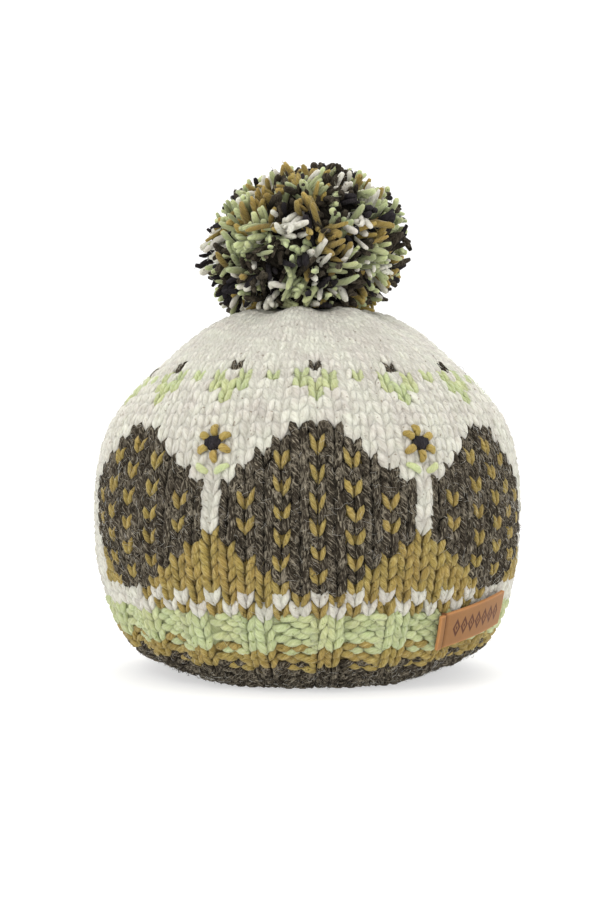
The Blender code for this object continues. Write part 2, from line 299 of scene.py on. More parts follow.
# How high the threads of a dot stand at its rim and above it, and those of the rest.
DOT_CREST, DOT_DOME, PETAL_CREST, LEAF_CREST = 0.0012, 0.0008, 0.0013, 0.0012
THREAD_DIP, THREAD_FLATNESS = 0.0030, 0.8
DOT_ROUND, DOT_UNEVEN, PETAL_UNEVEN = 0.90, 0.00025, 0.08
DOT_THREAD, PETAL_THREAD, LEAF_THREAD = 0.00085, 0.0016, 0.00145

# ------------------------------------------------------------------ studio
# The camera looks straight ahead, from a little above the body's half height.
CAMERA_PLACE = (-0.0034, -0.70, 0.09754)
CAMERA_LENS = 62.34
# Area lights that point at the body's middle.
# (name, place, size, power, colour)
LIGHTS = (
    ("key", (-0.55, -0.95, 1.05), 0.55, 4.0, (1.0, 0.99, 0.97)),
    ("fill", (1.1, -0.8, 0.55), 0.9, 1.5, (0.97, 0.985, 1.0)),
    ("top", (0.0, 0.15, 1.25), 1.0, 4.0, (1.0, 1.0, 1.0)),
    ("back", (0.35, 0.95, 0.9), 0.8, 3.0, (1.0, 1.0, 1.0)),
)
LIGHTS_AIM = (0.0, 0.0, 0.10)
FLOOR_SIZE, WALL_RISE, SWEEP = 5.0, 4.0, 1.2


# ================================================================== the draped cloth
def smooth_step(low, high, value):
    share = np.clip((value - low) / (high - low), 0.0, 1.0)
    return share * share * (3.0 - 2.0 * share)


def profile_line():
    """Fine points of the profile on a Catmull-Rom curve."""
    points = np.array(PROFILE)
    last = len(points) - 1
    fine = []
    for index in range(last):
        before, here = points[max(index - 1, 0)], points[index]
        there, after = points[index + 1], points[min(index + 2, last)]
        for step in range(PROFILE_STEPS):
            share = step / PROFILE_STEPS
            fine.append(0.5 * (2.0 * here + (there - before) * share
                               + (2.0 * before - 5.0 * here + 4.0 * there - after) * share ** 2
                               + (3.0 * here - before - 3.0 * there + after) * share ** 3))
    fine.append(points[-1])
    return np.array(fine)


LINE = profile_line()
RUNS = np.diff(LINE, axis=0)
RUN_LENGTHS = np.hypot(RUNS[:, 0], RUNS[:, 1])
LINE_ALONG = np.concatenate(((0.0,), np.cumsum(RUN_LENGTHS)))
CLOTH_LENGTH = LINE_ALONG[-1]
# The outward direction at the middle of each run, and straight down under the flat hem.
OUT_ALONG = np.concatenate(((-0.5 * HEM_FLAT,), LINE_ALONG[:-1] + 0.5 * RUN_LENGTHS))
OUT_R = np.concatenate(((0.0,), RUNS[:, 1] / RUN_LENGTHS))
OUT_Z = np.concatenate(((-1.0,), -RUNS[:, 0] / RUN_LENGTHS))


def profile_at(along):
    """Radius, height and outward direction; below zero the cloth lies flat under the hem."""
    radius = np.interp(along, LINE_ALONG, LINE[:, 0]) + np.minimum(along, 0.0)
    height = np.interp(along, LINE_ALONG, LINE[:, 1])
    out_r = np.interp(along, OUT_ALONG, OUT_R)
    out_z = np.interp(along, OUT_ALONG, OUT_Z)
    length = np.hypot(out_r, out_z)
    return radius, height, out_r / length, out_z / length


def angle_between(angle, other):
    return (angle - other + math.pi) % (2.0 * math.pi) - math.pi


def slot_opened(slot, along):
    """How far a slot is open there, from 0 to 1 at its widest."""
    _, first, last, _ = slot
    share = np.clip((along - first) / (last - first), 0.0, 1.0)
    return np.sin(math.pi * share) ** SLOT_ROUNDNESS


def sides_of(angle):
    """Which side of each slot a stitch is on, one column for each slot."""
    away = np.stack([angle_between(angle, slot[0]) for slot in SLOTS], axis=-1)
    return np.where(away < 0.0, -1.0, 1.0)


def parted_angle(angle, along, radius, sides):
    """Angle of the cloth after the slots have pushed it aside, kept on its own side of them."""
    for index, slot in enumerate(SLOTS):
        side = sides[..., index]
        away = angle_between(angle, slot[0]) * side
        opened = slot_opened(slot, along)
        lapped = SLOT_LAP * (1.0 - np.minimum(1.0, LAP_CLOSES * opened)) / radius
        kept = np.where(np.abs(away) < 0.5 * SLOT_REACH, np.maximum(away, -lapped), away)
        fall = np.clip(1.0 - np.abs(kept) / SLOT_REACH, 0.0, 1.0) ** 2
        angle = angle + side * (kept - away + fall * 0.5 * slot[3] * opened / radius)
    return angle


def slot_lip(angle, along):
    lip = 0.0
    for slot in SLOTS:
        wales_away = np.abs(angle_between(angle, slot[0])) * STITCHES_ROUND / (2.0 * math.pi)
        lip = lip + SLOT_LIP * np.maximum(0.0, 1.0 - wales_away) * slot_opened(slot, along)
    return lip


def relief(angle, along):
    """Ribs, gathers and a slight sag, measured out from the smooth wall."""
    ribbed = smooth_step(RIB_START, RIB_FULL, along) * (1.0 - smooth_step(RIB_FADE, RIB_END, along))
    rib = RIB_DEPTH * ribbed * np.sin(angle * STITCHES_ROUND / RIB_WALES)
    pinned_top = 1.0 - smooth_step(CLOTH_LENGTH - GATHER_PINNED, CLOTH_LENGTH, along)
    gathered = smooth_step(GATHER_START, GATHER_FULL, along) * pinned_top
    gather = GATHER_DEPTH * gathered * np.cos(GATHERS * angle + GATHER_TURN)
    share = along / CLOTH_LENGTH
    sagging = np.sin(math.pi * np.clip(share, 0.0, 1.0)) ** 2
    sagging = sagging * smooth_step(RIB_START, RIB_END, along)
    return rib + gather + SAG * sagging * np.sin(SAG_WAVES * angle + SAG_TWIST * share)


def hem_lift(angle, along):
    beside = smooth_step(LEVEL_SHARE, 1.0, np.abs(np.cos(angle)))
    return HEM_LIFT * beside * (1.0 - smooth_step(0.0, LIFT_FADES, along))


def on_cloth(angle, along, lift, sides, aside=0.0):
    """Points over the draped cloth: lift is out of its outer face, aside runs round it."""
    radius, height, out_r, out_z = profile_at(along)
    rise = relief(angle, along) + slot_lip(angle, along) + lift
    turned = parted_angle(angle, along, radius, sides) + aside / radius
    reach = radius + out_r * rise
    level = height + out_z * rise + hem_lift(angle, along)
    return np.stack((reach * np.cos(turned), reach * np.sin(turned), level), axis=-1)


# ================================================================== the knitting chart
def lozenge_yarn(place, row):
    """Charcoal lozenges with mustard flecks; None outside them."""
    from_middle = abs(row - LOZENGE_ROW)
    half_width = min(LOZENGE_WIDEST, LOZENGE_REACH - from_middle)
    for centre in LOZENGES:
        offset = place - centre
        if half_width < 1 or abs(offset) > half_width:
            continue
        inside = abs(offset) < half_width
        fleck = (offset + FLECK_EVERY // 2 * (row % 2)) % FLECK_EVERY == 0
        return MUSTARD if inside and fleck else CHARCOAL
    return None


def chart_yarn(column, row):
    """Yarn of one stitch: front and back carry the same rows and motifs."""
    place = column % PANEL
    for last_row, yarn in ((CHARCOAL_ROWS, CHARCOAL), (MUSTARD_ROWS, MUSTARD), (GREEN_ROWS, GREEN)):
        if row < last_row:
            return yarn
    if row < CHECK_ROWS:
        checked = CHECK_MARGIN <= place <= PANEL - CHECK_MARGIN
        return MUSTARD if checked and (place + row) % 2 else CREAM
    yarn = lozenge_yarn(place, row)
    if yarn is not None:
        return yarn
    step = row - HALF_LOZENGE_ROW
    if step < len(HALF_LOZENGE_WIDTHS):
        near = min(abs(place - centre) for centre in HALF_LOZENGES)
        margin = HALF_LOZENGE_MARGIN
        if near <= HALF_LOZENGE_WIDTHS[step] and margin <= place <= PANEL - margin:
            return MUSTARD
    along_garland = (place - GARLAND_DIP) % GARLAND_EVERY
    from_dip = min(along_garland, GARLAND_EVERY - along_garland)
    green_rows = {GARLAND_ROW: (0,), GARLAND_ROW + 1: (0, 1), GARLAND_ROW + 2: (1, 3)}
    if from_dip in green_rows.get(row, ()):
        return GREEN
    return CHARCOAL if row == GARLAND_ROW + 3 and from_dip == 0 else CREAM


CHART = np.array([[chart_yarn(column, row) for column in range(STITCHES_ROUND)]
                  for row in range(CHART_ROWS)])


# ================================================================== objects and meshes
def linked(name, data):
    item = bpy.data.objects.new(name, data)
    bpy.context.scene.collection.objects.link(item)
    return item


def add_primitive(operator, name, **sizes):
    """A new primitive, alone selected, and its mesh."""
    bpy.ops.object.select_all(action="DESELECT")
    operator(**sizes)
    item = bpy.context.object
    item.name = item.data.name = name
    return item, item.data


def apply_modifier(item, kind, **settings):
    """Selects only the item, and adds and applies a modifier to it."""
    bpy.ops.object.select_all(action="DESELECT")
    item.select_set(True)
    bpy.context.view_layer.objects.active = item
    modifier = item.modifiers.new(kind.lower(), kind)
    for name, value in settings.items():
        setattr(modifier, name, value)
    bpy.ops.object.modifier_apply(modifier=modifier.name)


def vertex_places(mesh):
    return np.array([vertex.co for vertex in mesh.vertices])


def move_vertices(mesh, places):
    mesh.vertices.foreach_set("co", places.astype(np.float32).ravel())


def add_values(mesh, name, values):
    """One value for each vertex, which the materials read by its name."""
    attribute = mesh.attributes.new(name, "FLOAT", "POINT")
    attribute.data.foreach_set("value", values.astype(np.float32).ravel())


def set_map(layer, places):
    """A place on the map for each corner of each face."""
    layer.data.foreach_set("uv", places.astype(np.float32).ravel())


def corner_vertices(mesh):
    """The vertex at each corner of each face."""
    vertices = np.empty(len(mesh.loops), np.int32)
    mesh.loops.foreach_get("vertex_index", vertices)
    return vertices


def edit_edges(mesh, chosen):
    """Edit mode, with those edges selected for which chosen(one end, other end) is true."""
    bpy.ops.object.mode_set(mode="EDIT")
    bpy.ops.mesh.select_mode(type="EDGE")
    bpy.ops.mesh.select_all(action="DESELECT")
    bpy.ops.object.mode_set(mode="OBJECT")
    for edge in mesh.edges:
        edge.select = chosen(*(mesh.vertices[index].co for index in edge.vertices))
    bpy.ops.object.mode_set(mode="EDIT")


# ================================================================== lengths of yarn
Blank = namedtuple("Blank", "ring around reach cap corners starts corner_around corner_ring")


def yarn_blank(sides, rings):
    """A straight round length of yarn with closed ends, cut into even rings, as arrays."""
    fill = "NGON" if sides == 3 else "TRIFAN"
    item, mesh = add_primitive(bpy.ops.mesh.primitive_cylinder_add, "blank", vertices=sides,
                               radius=1.0, depth=1.0, end_fill_type=fill)
    edit_edges(mesh, lambda one, other: abs(one.z - other.z) > 0.5)
    bpy.ops.mesh.subdivide(number_cuts=rings - 2)
    bpy.ops.object.mode_set(mode="OBJECT")
    places = vertex_places(mesh)
    ring = np.rint((places[:, 2] + 0.5) * (rings - 1)).astype(int)
    reach = np.hypot(places[:, 0], places[:, 1])
    around = np.arctan2(places[:, 1], places[:, 0])
    centre = reach < 0.5
    cap = np.where(centre, np.sign(places[:, 2]), 0.0)
    # Share of the way round, counted from the underside, kept whole across each face.
    share = (around / (2.0 * math.pi) + 0.25) % 1.0
    corners, starts, corner_around = [], [], []
    for face in mesh.polygons:
        starts.append(len(corners))
        indices = list(face.vertices)
        outer = [index for index in indices if not centre[index]]
        wraps = max(share[outer]) - min(share[outer]) > 0.5
        turned = {index: share[index] + float(wraps and share[index] < 0.5) for index in outer}
        middle = sum(turned.values()) / len(turned)
        corner_around += [turned.get(index, middle) for index in indices]
        corners += indices
    bpy.data.objects.remove(item, do_unlink=True)
    bpy.data.meshes.remove(mesh)
    return Blank(ring, around, np.where(centre, 0.0, 1.0), cap, np.array(corners), np.array(starts),
                 np.array(corner_around), ring[np.array(corners)])


def unit(vectors):
    return vectors / np.maximum(np.linalg.norm(vectors, axis=-1, keepdims=True), 1e-12)


def yarn_mesh(name, blank, paths, ups, wide, deep, chance, shades=np.ones(len(SHARES)),
              darkest=0.86, bulge=0.4, ply=0.0):
    """One mesh of many lengths of yarn: blank bent along each path, wide and deep at each ring.

    Shades darken its rings, and each length has a tone of its own, from the darkest to 1.
    Its ends bulge, and with ply its section has two lobes that wind round it.
    """
    count = len(paths)
    tangents = unit(np.gradient(paths, axis=1))
    across = unit(np.cross(ups, tangents))
    ups = np.cross(tangents, across)
    ring = blank.ring
    steps = np.linalg.norm(np.diff(paths, axis=1), axis=2)
    lengths = np.concatenate((np.zeros((count, 1)), np.cumsum(steps, axis=1)), axis=1)
    girth = 2.0 * math.pi * np.maximum(wide.max(axis=1, keepdims=True), 1e-5)
    turns = PLY_TURNS * (lengths / girth)[:, ring]
    wound = blank.around + 2.0 * math.pi * turns + chance.uniform(0.0, 6.0, (count, 1))
    reach = blank.reach * (1.0 + ply * np.cos(2.0 * wound))
    sideways = (wide[:, ring] * reach * np.cos(blank.around))[..., None] * across[:, ring]
    outward = (deep[:, ring] * reach * np.sin(blank.around))[..., None] * ups[:, ring]
    ends = (wide[:, ring] * blank.cap * bulge)[..., None] * tangents[:, ring]
    points = paths[:, ring] + sideways + outward + ends
    points[..., 2] = np.maximum(points[..., 2], FLOOR_GAP)
    mesh = bpy.data.meshes.new(name)
    mesh.vertices.add(count * len(ring))
    move_vertices(mesh, points)
    corners = blank.corners + len(ring) * np.arange(count)[:, None]
    mesh.loops.add(corners.size)
    mesh.loops.foreach_set("vertex_index", corners.astype(np.int32).ravel())
    starts = blank.starts + len(blank.corners) * np.arange(count)[:, None]
    mesh.polygons.add(starts.size)
    mesh.polygons.foreach_set("loop_start", starts.astype(np.int32).ravel())
    mesh.update(calc_edges=True)
    start = chance.uniform(0.0, 40.0, (count, 1))
    wound_along = lengths[:, blank.corner_ring] / girth + start
    around = np.broadcast_to(blank.corner_around, wound_along.shape)
    set_map(mesh.uv_layers.new(name="yarn"), np.stack((around, wound_along), axis=-1))
    # Each length's random tone, times the painted shade of its rings.
    add_values(mesh, "tone", chance.uniform(darkest, 1.0, (count, 1)) * shades[ring])
    mesh.shade_smooth()
    return mesh


def place_piece(name, mesh, material):
    item = linked(name, mesh)
    mesh.materials.append(material)
    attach(item, "root")


# ================================================================== materials
def fill_inputs(tree, node, inputs):
    """Sets a node's inputs by name or _index: each is a value or another node's output."""
    for name, value in inputs.items():
        key = int(name[1:]) if name[0] == "_" else name.replace("_", " ")
        if isinstance(value, bpy.types.NodeSocket):
            tree.links.new(value, node.inputs[key])
        else:
            node.inputs[key].default_value = value


def add_node(tree, kind, settings=(), **inputs):
    node = tree.nodes.new(kind)
    for name, value in dict(settings).items():
        setattr(node, name, value)
    fill_inputs(tree, node, inputs)
    return node


def new_material(name):
    material = bpy.data.materials.new(name)
    material.use_nodes = True
    return material, material.node_tree, material.node_tree.nodes["Principled BSDF"]


def new_group(name, inputs, outputs):
    """An empty shader node group with the named sockets, its inputs' outputs, and its sink."""
    group = bpy.data.node_groups.new(name, "ShaderNodeTree")
    for label, kind, value in inputs:
        socket = group.interface.new_socket(name=label, in_out="INPUT", socket_type=kind)
        socket.default_value = value
    for label, kind in outputs:
        group.interface.new_socket(name=label, in_out="OUTPUT", socket_type=kind)
    return group, group.nodes.new("NodeGroupInput").outputs, group.nodes.new("NodeGroupOutput")


def math_node(tree, operation, first, second=0.0):
    settings = {"operation": operation}
    return add_node(tree, "ShaderNodeMath", settings, _0=first, _1=second).outputs[0]


def product(tree, first, second):
    return math_node(tree, "MULTIPLY", first, second)


def total(tree, first, *others):
    for other in others:
        first = math_node(tree, "ADD", first, other)
    return first


def distance(tree, value, middle):
    return math_node(tree, "ABSOLUTE", math_node(tree, "SUBTRACT", value, middle))


def ramp(tree, value, zero_at, one_at, **ends):
    """From 0 to 1 between two values, or between the ends given as _3 and _4."""
    return add_node(tree, "ShaderNodeMapRange", {}, Value=value, _1=zero_at, _2=one_at,
                    **ends).outputs[0]


def noise_node(tree, vector, scale, detail, roughness=0.5, distortion=0.0):
    return add_node(tree, "ShaderNodeTexNoise", {}, Vector=vector, Scale=scale, Detail=detail,
                    Roughness=roughness, Distortion=distortion).outputs["Fac"]


def mix_colours(tree, share, first, second, blend="MIX"):
    node = add_node(tree, "ShaderNodeMix", {"data_type": "RGBA", "blend_type": blend},
                    _0=share, _6=first, _7=second)
    return node.outputs[2]


def read_values(tree, name):
    return add_node(tree, "ShaderNodeAttribute", {"attribute_name": name}).outputs["Fac"]


def place_of(tree, across, along, depth=0.0):
    return add_node(tree, "ShaderNodeCombineXYZ", {}, X=across, Y=along, Z=depth).outputs[0]


def split_map(tree, name):
    """Both coordinates of a named UV map."""
    place = add_node(tree, "ShaderNodeUVMap", {"uv_map": name}).outputs[0]
    return add_node(tree, "ShaderNodeSeparateXYZ", {}, Vector=place).outputs[:2]


def spun_yarn_group():
    """Fibres that wind round a yarn: hair and lump patterns from its own UV, and a height."""
    given_floats = (("Twist", 0.6), ("Ply", 0.3), ("Fibres", 15.0))
    group, given, sink = new_group(
        "spun_yarn",
        [(name, "NodeSocketFloat", value) for name, value in given_floats],
        [(name, "NodeSocketFloat") for name in ("Hairs", "Lumps", "Height")],
    )
    around, along = split_map(group, "yarn")
    wound = total(group, around, product(group, along, given["Twist"]))
    hair_place = place_of(group, product(group, wound, given["Fibres"]), product(group, along, 3.0))
    hairs = noise_node(group, hair_place, 1.0, 4.0, 0.76)
    lump_place = place_of(group, product(group, wound, 3.0), product(group, along, 2.0), 7.3)
    lumps = noise_node(group, lump_place, 1.0, 2.0)
    wave = math_node(group, "SINE", product(group, wound, 3.0 * math.pi))
    wave = math_node(group, "POWER", math_node(group, "ABSOLUTE", wave), 0.6)
    plied = product(group, wave, given["Ply"])
    height = total(group, product(group, hairs, 0.9), product(group, lumps, 0.5), plied)
    fill_inputs(group, sink, {"Hairs": hairs, "Lumps": lumps, "Height": height})
    return group


def felted_hairs_group():
    """Fine curled lines that cross from stitch to stitch, slow patches and sparse specks."""
    group, given, sink = new_group(
        "felted_hairs",
        (("Spacing", "NodeSocketFloat", 280.0), ("Fineness", "NodeSocketFloat", 0.029)),
        [(name, "NodeSocketFloat") for name in ("Lines", "Patches", "Specks")],
    )
    place = add_node(group, "ShaderNodeTexCoord").outputs["Object"]
    lines = 0.0
    for step in range(2):
        moved = add_node(group, "ShaderNodeMapping", {}, Vector=place, Scale=(1.0, 1.0, 0.38),
                         Location=(0.31 * step, 0.17, 0.0),
                         Rotation=(0.0, 0.35 - 0.7 * step, 0.4 * step)).outputs[0]
        wander = noise_node(group, moved, given["Spacing"], 1.5, 0.55, 0.6)
        line = ramp(group, distance(group, wander, 0.5), given["Fineness"], 0.004)
        lines = math_node(group, "MAXIMUM", line, lines)
    shown = ramp(group, noise_node(group, place, 90.0, 1.0), 0.36, 0.60)
    patches = ramp(group, noise_node(group, place, 110.0, 3.0), 0.35, 0.65)
    specks = ramp(group, noise_node(group, place, 520.0, 1.0), 0.69, 0.76)
    fill_inputs(group, sink, {"Lines": product(group, lines, shown), "Patches": patches,
                              "Specks": specks})
    return group


def heather_group():
    """Colour of spun wool: its drift, the hairs in it and over it, and a tone for each stitch,
    which also carries the painted shade of its rings.
    """
    colours = ("Wool", "Drift", "Pale Hair", "Dark Hair")
    shares = ("Pale Share", "Dark Share", "Strays", "Hairs", "Lumps", "Lines", "Patches", "Specks")
    group, given, sink = new_group(
        "heather",
        [(name, "NodeSocketColor", (0.5, 0.5, 0.5, 1.0)) for name in colours]
        + [(name, "NodeSocketFloat", 0.5) for name in shares],
        (("Colour", "NodeSocketColor"),),
    )
    pale = product(group, ramp(group, given["Hairs"], 0.52, 0.66), given["Pale Share"])
    dark = product(group, ramp(group, given["Hairs"], 0.50, 0.36), given["Dark Share"])
    stray = product(group, given["Lines"], given["Strays"])
    colour = given["Wool"]
    for share, other in ((given["Patches"], "Drift"), (dark, "Dark Hair"), (pale, "Pale Hair"),
                         (stray, "Pale Hair"), (given["Specks"], "Dark Hair")):
        colour = mix_colours(group, share, colour, given[other])
    uneven = total(group, product(group, given["Lumps"], 0.24), 0.92)
    brightness = product(group, uneven, read_values(group, "tone"))
    grey = add_node(group, "ShaderNodeCombineColor", {}, _0=brightness, _1=brightness,
                    _2=brightness).outputs[0]
    fill_inputs(group, sink, {"Colour": mix_colours(group, 1.0, colour, grey, "MULTIPLY")})
    return group


SPUN_YARN = spun_yarn_group()
FELTED_HAIRS = felted_hairs_group()
HEATHER = heather_group()


def wool_material(name, yarn, twist, ply, cut=False):
    """Wool of one of the yarns, spun with the given twist; cut, it shows fewer pale hairs."""
    colours = YARN_COLOURS[yarn]
    hairy = colours.cut_hairs if cut else 1.0
    material, tree, shader = new_material(name)
    spun = add_node(tree, "ShaderNodeGroup", {"node_tree": SPUN_YARN}, Twist=twist, Ply=ply,
                    Fibres=colours.fibres).outputs
    felted = add_node(tree, "ShaderNodeGroup", {"node_tree": FELTED_HAIRS}).outputs
    patterns = {output.name: output for output in (*felted, *spun) if output.name != "Height"}
    heather = add_node(tree, "ShaderNodeGroup", {"node_tree": HEATHER}, Wool=(*colours.wool, 1.0),
                       Drift=(*colours.drift, 1.0), Pale_Hair=(*colours.pale, 1.0),
                       Dark_Hair=(*colours.dark, 1.0), Pale_Share=colours.pale_share * hairy,
                       Dark_Share=colours.dark_share, Strays=colours.strays * hairy, **patterns)
    height = total(tree, spun["Height"], product(tree, felted["Lines"], 0.25))
    bump = add_node(tree, "ShaderNodeBump", {}, Strength=colours.coarse * (0.4 if cut else 0.9),
                    Distance=0.0009, Height=height)
    fill_inputs(tree, shader, {
        "Base Color": heather.outputs["Colour"], "Normal": bump.outputs["Normal"],
        "Roughness": 0.95, "Specular IOR Level": 0.08,
        "Sheen Weight": colours.sheen, "Sheen Roughness": 0.55,
        "Subsurface Weight": colours.glow, "Subsurface Radius": (1.0, 1.0, 1.0),
        "Subsurface Scale": 0.0016})
    return material


KNIT_WOOL, CUT_WOOL = (
    [wool_material(f"{name}_{kind}_wool", yarn, *spinning) for yarn, name in enumerate(YARN_NAMES)]
    for kind, spinning in (("knit", (0.75, 0.50)), ("cut", (0.9, 0.55, True)))
)
ROUND_YARN = yarn_blank(8, len(SHARES))
STITCH_YARN = yarn_blank(7, len(SHARES))
CUT_YARN = yarn_blank(6, len(SHARES))
HAIR = yarn_blank(3, 4)


# ================================================================== stitches
Stitches = namedtuple("Stitches", "angle along turn pitch yarn purl lone upper_yarn lower_yarn")


def along_of_row(row):
    """Length along the cloth of a row's lower edge."""
    rows, alongs = zip(*ROW_MARKS, (CHART_ROWS, CLOTH_LENGTH))
    return np.interp(row, rows, alongs)


ROW_EDGES = along_of_row(np.arange(CHART_ROWS + 1))


def yarn_at(angle, along):
    """The chart's yarn at places on the cloth."""
    row = (np.searchsorted(ROW_EDGES, along) - 1).clip(0, CHART_ROWS - 1)
    column = np.floor(angle * STITCHES_ROUND / (2.0 * math.pi)).astype(int) % STITCHES_ROUND
    return CHART[row, column]


def stitches_of_body():
    """Place, size and yarns of every stitch from under the hem to the crown."""
    lots = []
    courses = dict(CROWN_COURSES)
    round_now = STITCHES_ROUND
    for row in range(-1, ROWS_SEEN):
        round_now = courses.get(row, round_now)
        turn = 2.0 * math.pi / round_now
        low, high = (along_of_row(row), along_of_row(row + 1)) if row >= 0 else (-HEM_FLAT, 0.0)
        next_row = row + 1 if row + 1 < RIB_ROWS else row
        for column in range(round_now):
            chart_column = round((column + 0.5) * STITCHES_ROUND / round_now - 0.5) % STITCHES_ROUND
            purl = 0 <= row < RIB_ROWS and column % RIB_WALES >= RIB_WALES // 2
            yarn = CHART[max(row, 0), chart_column]
            beside = CHART[max(row, 0), (chart_column + np.array((-1, 1))) % STITCHES_ROUND]
            lots.append(((column + 0.5) * turn, 0.5 * (low + high), turn, high - low,
                         yarn, purl, not (yarn == beside).any(),
                         CHART[next_row, chart_column], CHART[max(row - 1, 0), chart_column]))
    return Stitches(*(np.array(field) for field in zip(*lots)))


def uneven_tension(angle, along):
    """How far the knitting has drifted sideways and up there, in stitches."""
    settled = STITCH_DRIFT * smooth_step(0.0, DRIFT_SETTLED, along)
    sideways, upward = (
        sum(strength * np.sin(waves * angle + turn * along / DRIFT_WAVE)
            for waves, turn, strength in table) for table in (DRIFT_SIDEWAYS, DRIFT_UPWARD))
    return 0.5 * settled * sideways, settled * upward


def over_cloth(angle, along, lift, sides):
    """Paths over the cloth and their outward directions."""
    paths = on_cloth(angle, along, lift, sides)
    return paths, unit(on_cloth(angle, along, lift + 0.001, sides) - paths)


def stitch_paths(stitches, across, up, lift):
    """The same beside the middle of each stitch: across and up are in stitches."""
    angle = stitches.angle[:, None] + across * stitches.turn[:, None]
    along = stitches.along[:, None] + up * stitches.pitch[:, None]
    sideways, upward = uneven_tension(angle, along)
    angle = angle + sideways * stitches.turn[:, None]
    along = np.maximum(along + upward * stitches.pitch[:, None], -HEM_FLAT)
    sides = np.broadcast_to(sides_of(stitches.angle)[:, None, :], angle.shape + (len(SLOTS),))
    return over_cloth(angle, along, lift, sides)


def stitch_widths(stitches):
    ends, _ = stitch_paths(stitches, np.array((-0.5, 0.5)), np.zeros(2), np.zeros(2))
    return np.linalg.norm(ends[:, 1] - ends[:, 0], axis=1)


def knit_legs(stitches, hand, chance):
    """One leg of each stitch's V, on the left or the right hand, thinner where it is crowded."""
    jitter = chance.normal(0.0, 1.0, (len(stitches.angle), 6))
    uneven_across, uneven_up, uneven_lift, uneven_width = LEG_UNEVEN
    foot = LEG_FOOT[0] + FOOT_UNEVEN * jitter[:, :1]
    head = LEG_HEAD[0] + HEAD_UNEVEN * jitter[:, 1:2]
    bowed = foot + (head - foot) * SHARES + LEG_BOW * np.sin(math.pi * SHARES)
    across = hand * bowed + uneven_across * jitter[:, 5:]
    up = LEG_FOOT[1] + (LEG_HEAD[1] - LEG_FOOT[1]) * SHARES + uneven_up * jitter[:, 2:3]
    sunk = sum(dip * (1.0 - from_end / DIP_SHARE).clip(0.0) ** DIP_POWER
               for dip, from_end in ((LEG_FOOT_DIP, SHARES), (LEG_HEAD_DIP, 1.0 - SHARES)))
    depth = LEG_HALF_DEPTHS[stitches.yarn][:, None]
    lift = LEG_TOP - depth - sunk * depth / LEG_HALF_DEPTHS.max() + uneven_lift * jitter[:, 3:4]
    paths, ups = stitch_paths(stitches, across, up, lift)
    half = LEG_HALF_WIDTHS[stitches.yarn] * stitch_widths(stitches)
    half = np.clip(half, LEG_NARROWEST, LEG_WIDEST)
    half = half * (1.0 + uneven_width * jitter[:, 4]) * np.where(stitches.lone, LONE_WIDTH, 1.0)
    return paths, ups, half[:, None] * LEG_WIDTHS, depth * YARN_DEPTHS


def thread_size(half_width, half_depth, count):
    """Widths and depths of many equal lengths of yarn, ring by ring."""
    return (np.broadcast_to(half_width * BAR_WIDTHS, (count, len(SHARES))),
            np.broadcast_to(half_depth * YARN_DEPTHS, (count, len(SHARES))))


def purl_bars(stitches, upper, chance):
    """One bar of each purl bump: the upper bars sag between two stitches, the lower ones arch."""
    count = len(stitches.angle)
    jitter = chance.normal(0.0, 1.0, (count, 4))
    uneven_across, uneven_up, uneven_lift, uneven_slope = BAR_UNEVEN
    direction, moved = (1.0, 0.5) if upper else (-1.0, 0.0)
    across = (SHARES - 0.5) * 2.0 * BAR_REACH + moved + uneven_across * jitter[:, :1]
    arched = direction * (BAR_OFF_ROW + BAR_ARCH * np.sin(math.pi * SHARES))
    sloped = uneven_slope * jitter[:, 3:] * (SHARES - 0.5)
    up = arched + uneven_up * jitter[:, 1:2] + sloped
    dipped = BAR_DIP * (np.abs(SHARES - 0.5) * 2.0) ** BAR_DIP_POWER
    lift = LEG_TOP + BAR_RISE - BAR_HALF_DEPTH - dipped + uneven_lift * jitter[:, 2:3]
    return (*stitch_paths(stitches, across, up, lift),
            *thread_size(BAR_HALF_WIDTH, BAR_HALF_DEPTH, count))


def pick(stitches, mask):
    return Stitches(*(field[mask] for field in stitches))


def joined(parts):
    return tuple(np.concatenate(fields) for fields in zip(*parts))


def round_edge(angle, along, sides, insets, aside=0.0, middle_along=0.0, middle_aside=0.0):
    """Paths round an edge of the wall, and their directions away from its middle."""
    first, last = insets
    lift = np.broadcast_to(-first - (WALL - first - last) * EVEN_SHARES, angle.shape)
    path = on_cloth(angle, along, lift, sides, aside)
    middle = on_cloth(angle, along + middle_along, -0.5 * WALL, sides, middle_aside)
    return path, unit(path - middle)


def selvedge_wraps():
    """Edge stitches that wrap round both sides of each slot, and their yarns."""
    lots = []
    for slot_angle, first, last, _ in SLOTS:
        rows = np.arange(first, last, WRAP_PITCH)
        for side in (-1.0, 1.0):
            beside = slot_angle + WRAP_BESIDE * side
            along = rows[:, None] + WRAP_PITCH * WRAP_OVERLAP * EVEN_SHARES
            sides = sides_of(np.full(along.shape, beside))
            paths, ups = round_edge(np.full(along.shape, slot_angle), along, sides, WRAP_INSETS,
                                    WRAP_BULGE * side * EVEN_ARCH, 0.0, WRAP_MIDDLE * side)
            sizes = thread_size(WRAP_HALF_WIDTH, WRAP_HALF_DEPTH, len(rows))
            lots.append((paths, ups, *sizes, yarn_at(beside, rows)))
    return joined(lots)


def hem_wraps():
    """Cast-on loops round the inner rim of the hem."""
    count = STITCHES_ROUND * 2
    place = np.arange(count)[:, None] + RIM_FIRST + RIM_SHARE * EVEN_SHARES
    angle = place * 2.0 * math.pi / count
    along = np.broadcast_to(RIM_ALONG + RIM_BULGE * EVEN_ARCH, angle.shape)
    paths, ups = round_edge(angle, along, sides_of(angle), RIM_INSETS, middle_along=RIM_MIDDLE)
    sizes = thread_size(RIM_HALF_WIDTH, WRAP_HALF_DEPTH, count)
    return paths, ups, *sizes, np.full(count, CHARCOAL)


